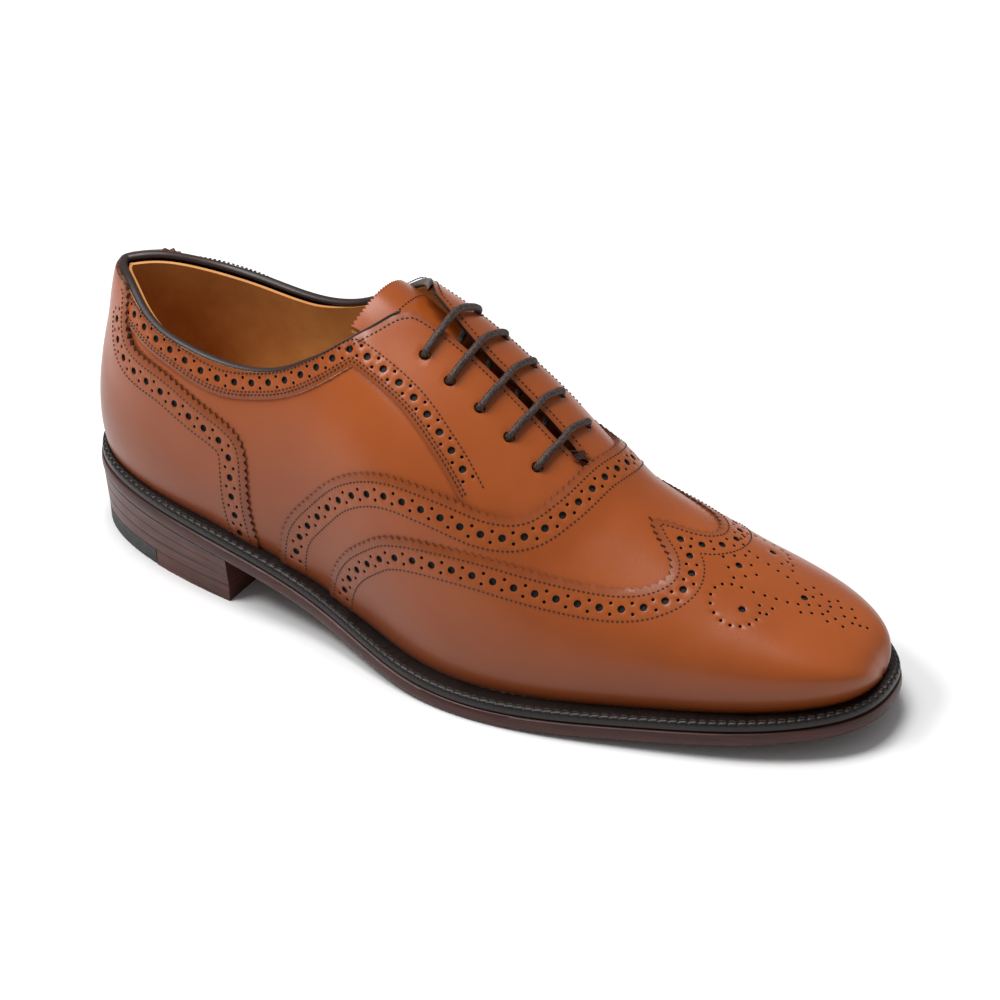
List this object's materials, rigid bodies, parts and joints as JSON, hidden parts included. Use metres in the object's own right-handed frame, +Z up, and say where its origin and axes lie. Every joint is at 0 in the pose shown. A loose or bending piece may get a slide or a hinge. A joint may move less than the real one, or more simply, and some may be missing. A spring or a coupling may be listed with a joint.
{
  "type": "leather oxford shoe",
  "caption": "Right leather oxford shoe with a perforated winged toe cap, closed lacing over a hinged tongue, a welted leather sole and a stacked heel.",
  "frame": {"origin": "on the floor, under the middle of the shoe's length and width", "axes": "+X to the toe, +Y to the inner side of this right shoe, +Z up"},
  "size_m": [0.3001, 0.1062, 0.1125],
  "materials": {
    "upper_leather": "burnished chestnut calf, satin polish",
    "band_leather": "burnished chestnut calf, satin polish",
    "lining_leather": "smooth camel lining leather",
    "binding_leather": "dark brown rolled binding",
    "welt_leather": "dyed and waxed, almost black",
    "sole_leather": "oak bark leather with a dark waxed edge",
    "heel_leather": "stacked lifts, dark waxed edge",
    "tip_rubber": "dark grey matt rubber",
    "insole_leather": "raw vegetable tanned leather",
    "cork": "ground cork paste",
    "shank_steel": "plain spring steel",
    "stiffener": "resin stiffened cloth",
    "lace_cotton": "waxed round braid, dark brown",
    "aglet_plastic": "dark brown film rolled round the braid",
    "thread": "waxed dark brown thread"
  },
  "bodies": {
    "shoe": {"outsole": "sole_leather", "welt": "welt_leather", "insole_rib": "insole_leather", "insole": "insole_leather", "cork_filler": "cork", "shank": "shank_steel", "heel_sock": "lining_leather", "heel_lift_1": "heel_leather", "heel_lift_2": "heel_leather", "heel_lift_3": "heel_leather", "heel_tip_rubber": "tip_rubber", "heel_tip_leather": "heel_leather", "wing_cap": "upper_leather", "vamp": "upper_leather", "vamp_lining": "lining_leather", "toe_puff": "stiffener", "counter": "upper_leather", "heel_stiffener": "stiffener", "collar_band_outer": "band_leather", "collar_band_inner": "band_leather", "quarter_outer": "upper_leather", "quarter_inner": "upper_leather", "facing_outer": "upper_leather", "facing_inner": "upper_leather", "quarter_lining_outer": "lining_leather", "quarter_lining_inner": "lining_leather", "topline_binding": "binding_leather", "bar_tack": "thread", "shoelace": "lace_cotton", "aglet_outer": "aglet_plastic", "aglet_inner": "aglet_plastic"},
    "tongue": {"tongue": "upper_leather", "tongue_lining": "lining_leather"}
  },
  "joints": [
    {"name": "tongue_hinge", "type": "hinge", "parent": "shoe", "child": "tongue", "pos_m": [0.0335, 0.003, 0.068], "axis": [0, 1, 0], "range_deg": [-12, 0]}
  ]
}
